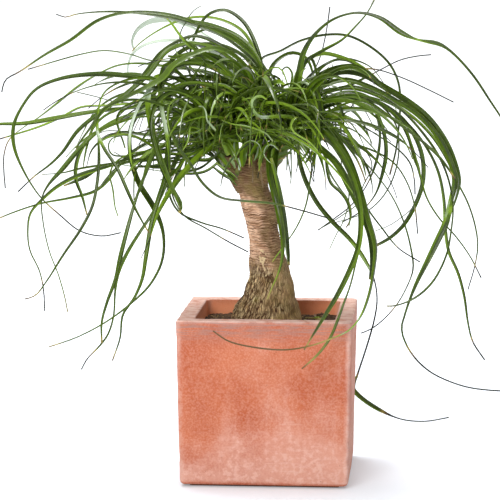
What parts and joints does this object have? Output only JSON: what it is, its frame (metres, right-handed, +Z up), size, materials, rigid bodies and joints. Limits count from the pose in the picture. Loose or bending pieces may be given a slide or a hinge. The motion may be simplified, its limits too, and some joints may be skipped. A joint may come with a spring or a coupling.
{
  "type": "potted ponytail palm",
  "caption": "Ponytail palm with a corky swollen trunk, forked into heads of long arching strap leaves, in a square terracotta pot.",
  "frame": {"origin": "middle of the pot's underside, on the surface that the pot stands on", "axes": "+Z up along the pot; -Y is the front that the picture shows; +X to the right of it"},
  "size_m": [0.7796, 0.5113, 0.6901],
  "materials": {
    "terracotta": null,
    "soil": null,
    "bark": "corky grey-tan bark, cracked low down and ringed higher up",
    "leaf": null
  },
  "bodies": {
    "root": {"pot": "terracotta", "soil": "soil", "trunk": "bark", "crown_left": "leaf", "crown_centre": "leaf", "crown_right": "leaf"}
  },
  "joints": []
}
